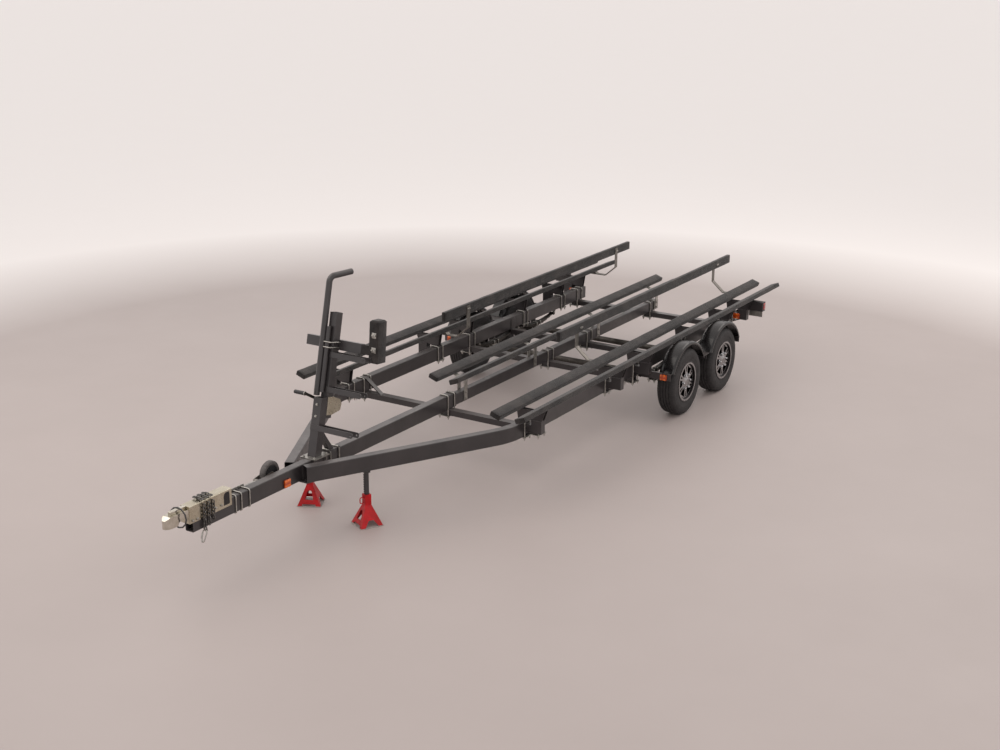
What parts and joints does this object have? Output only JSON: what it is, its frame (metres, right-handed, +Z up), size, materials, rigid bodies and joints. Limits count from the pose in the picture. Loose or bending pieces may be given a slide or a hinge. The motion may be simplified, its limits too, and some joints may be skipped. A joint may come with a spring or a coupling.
{
  "type": "boat trailer",
  "caption": "Bunk trailer for a triple-float boat: black steel frame, paired carpeted bunks, leaning winch mast, tandem wheels under round fenders, on red stands.",
  "frame": {"origin": "middle of the footprint, on the ground", "axes": "+X to the trailer's left, +Y towards its rear, +Z up"},
  "size_m": [2.564, 8.17, 1.9437],
  "materials": {
    "frame_black": "satin",
    "zinc": "satin",
    "housing_zinc": "satin",
    "chrome": "polished",
    "fender_black": "gloss",
    "carpet": "matt",
    "tyre_rubber": "matt",
    "rim_alloy": "machined",
    "caster_rubber": "matt",
    "black_plastic": "matt",
    "red_lens": "gloss",
    "amber_lens": "gloss",
    "stand_red": "satin"
  },
  "bodies": {
    "frame": {"tongue_tube": "frame_black", "centre_rail": "frame_black", "side_rail_left": "frame_black", "side_rail_right": "frame_black", "crossmembers": "frame_black", "rail_tie_plate": "frame_black", "frame_ubolts": "zinc", "axles": "frame_black", "leaf_springs": "frame_black", "spring_hangers": "frame_black", "spring_clamps": "zinc", "fenders_left": "fender_black", "fenders_right": "fender_black", "fender_arms": "frame_black", "bunks_left": "carpet", "bunks_centre": "carpet", "bunks_right": "carpet", "side_bunk_brackets": "frame_black", "centre_bunk_brackets": "zinc", "guide_boards": "carpet", "guide_brackets": "zinc", "mast_lower": "frame_black", "mast_upper": "frame_black", "mast_steps": "frame_black", "grab_pole": "frame_black", "bow_crossbar": "frame_black", "bow_pad": "carpet", "winch_frame": "housing_zinc", "winch_crank": "zinc", "mast_base": "zinc", "mast_brace": "frame_black", "actuator_housing": "housing_zinc", "coupler_head": "chrome", "coupler_latch": "frame_black", "safety_chains": "zinc", "chain_hooks": "zinc", "tongue_ubolts": "zinc", "jack_mount": "zinc", "tail_light_housings": "black_plastic", "tail_light_lenses": "red_lens", "light_brackets": "frame_black", "amber_markers": "amber_lens", "plate_bracket": "zinc", "stand_left": "stand_red", "stand_right": "stand_red", "stand_posts": "frame_black"},
    "jack": {"jack_leg": "zinc", "jack_fork": "zinc", "jack_crank": "zinc"},
    "jack_caster": {"jack_wheel": "caster_rubber"},
    "wheel_front_left": {"tyre_front_left": "tyre_rubber", "rim_front_left": "rim_alloy"},
    "wheel_front_right": {"tyre_front_right": "tyre_rubber", "rim_front_right": "rim_alloy"},
    "wheel_rear_left": {"tyre_rear_left": "tyre_rubber", "rim_rear_left": "rim_alloy"},
    "wheel_rear_right": {"tyre_rear_right": "tyre_rubber", "rim_rear_right": "rim_alloy"}
  },
  "joints": [
    {"name": "front_left_spin", "type": "hinge", "parent": "frame", "child": "wheel_front_left", "pos_m": [1.179, 1.56, 0.322], "axis": [1, 0, 0], "continuous": true},
    {"name": "front_right_spin", "type": "hinge", "parent": "frame", "child": "wheel_front_right", "pos_m": [-1.179, 1.56, 0.322], "axis": [1, 0, 0], "continuous": true},
    {"name": "rear_left_spin", "type": "hinge", "parent": "frame", "child": "wheel_rear_left", "pos_m": [1.179, 2.41, 0.322], "axis": [1, 0, 0], "continuous": true},
    {"name": "rear_right_spin", "type": "hinge", "parent": "frame", "child": "wheel_rear_right", "pos_m": [-1.179, 2.41, 0.322], "axis": [1, 0, 0], "continuous": true},
    {"name": "jack_swing", "type": "hinge", "parent": "frame", "child": "jack", "pos_m": [-0.112, -3.262, 0.513], "axis": [1, 0, 0], "range_deg": [-90, 0]},
    {"name": "jack_caster_spin", "type": "hinge", "parent": "jack", "child": "jack_caster", "pos_m": [-0.112, -2.865, 0.545], "axis": [1, 0, 0], "continuous": true}
  ]
}
